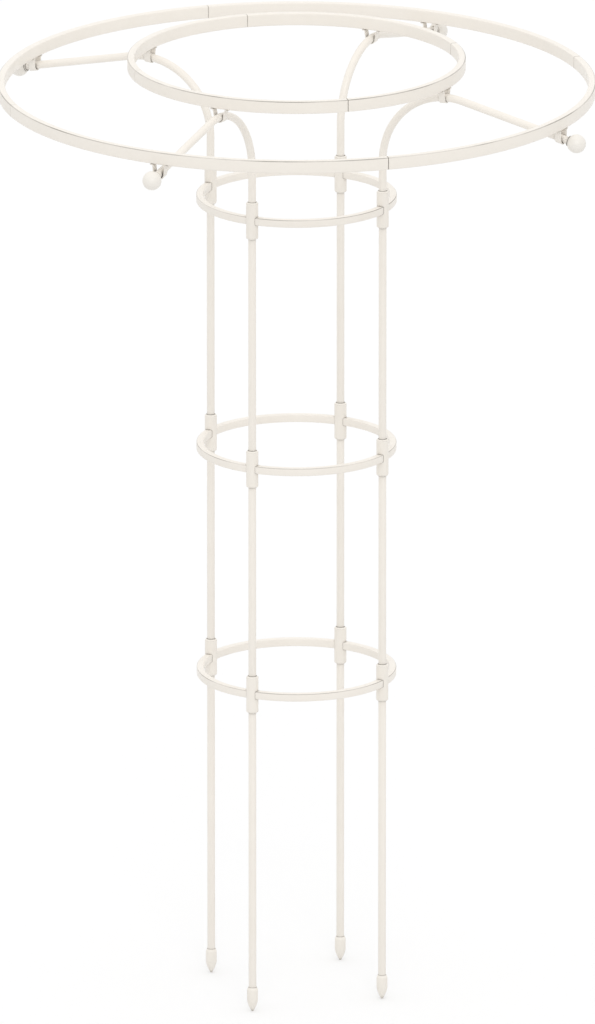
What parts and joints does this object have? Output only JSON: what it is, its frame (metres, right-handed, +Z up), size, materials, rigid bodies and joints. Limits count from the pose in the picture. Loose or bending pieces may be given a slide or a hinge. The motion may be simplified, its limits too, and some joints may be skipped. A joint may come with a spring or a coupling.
{
  "type": "umbrella plant support",
  "caption": "Umbrella-shaped plant support: pointed legs tied by hoops in stacked tiers, with bent arms that carry concentric flat-sided rings and end in balls.",
  "frame": {"origin": "on the ground under the frame's axis, level with the blunt tips of the feet", "axes": "+Z up along the legs; the arms point along +X, +Y, -X and -Y, and the side named front faces -Y"},
  "size_m": [1.0798, 1.0798, 1.6271],
  "materials": {
    "tube": "cream powder coat, satin",
    "hoop": "cream powder coat, satin",
    "sleeve": "cream powder coat, satin",
    "foot": "cream powder coat, satin",
    "ring": "cream powder coat, satin",
    "clip": "cream powder coat, satin",
    "ball": "cream powder coat, satin"
  },
  "bodies": {
    "ground_tier": {"spike_right": "foot", "spike_back": "foot", "spike_left": "foot", "spike_front": "foot", "lower_leg_right": "tube", "lower_leg_back": "tube", "lower_leg_left": "tube", "lower_leg_front": "tube", "hoop_bottom": "hoop", "sleeve_bottom_right": "sleeve", "sleeve_bottom_back": "sleeve", "sleeve_bottom_left": "sleeve", "sleeve_bottom_front": "sleeve"},
    "middle_tier": {"middle_leg_right": "tube", "middle_leg_back": "tube", "middle_leg_left": "tube", "middle_leg_front": "tube", "hoop_middle": "hoop", "sleeve_middle_right": "sleeve", "sleeve_middle_back": "sleeve", "sleeve_middle_left": "sleeve", "sleeve_middle_front": "sleeve"},
    "upper_tier": {"upper_leg_right": "tube", "upper_leg_back": "tube", "upper_leg_left": "tube", "upper_leg_front": "tube", "hoop_top": "hoop", "sleeve_top_right": "sleeve", "sleeve_top_back": "sleeve", "sleeve_top_left": "sleeve", "sleeve_top_front": "sleeve"},
    "umbrella_head": {"arm_right": "tube", "arm_back": "tube", "arm_left": "tube", "arm_front": "tube", "finial_right": "ball", "finial_back": "ball", "finial_left": "ball", "finial_front": "ball", "inner_ring_arc_right": "ring", "inner_ring_arc_back": "ring", "inner_ring_arc_left": "ring", "inner_ring_arc_front": "ring", "outer_ring_arc_right": "ring", "outer_ring_arc_back": "ring", "outer_ring_arc_left": "ring", "outer_ring_arc_front": "ring", "inner_clip_right": "clip", "inner_clip_back": "clip", "inner_clip_left": "clip", "inner_clip_front": "clip", "outer_clip_right": "clip", "outer_clip_back": "clip", "outer_clip_left": "clip", "outer_clip_front": "clip"}
  },
  "joints": [
    {"name": "middle_tier_lift", "type": "slide", "parent": "ground_tier", "child": "middle_tier", "axis": [0, 0, 1], "range_m": [0, 0.05]},
    {"name": "upper_tier_lift", "type": "slide", "parent": "middle_tier", "child": "upper_tier", "axis": [0, 0, 1], "range_m": [0, 0.05]},
    {"name": "umbrella_lift", "type": "slide", "parent": "upper_tier", "child": "umbrella_head", "axis": [0, 0, 1], "range_m": [0, 0.05]}
  ]
}
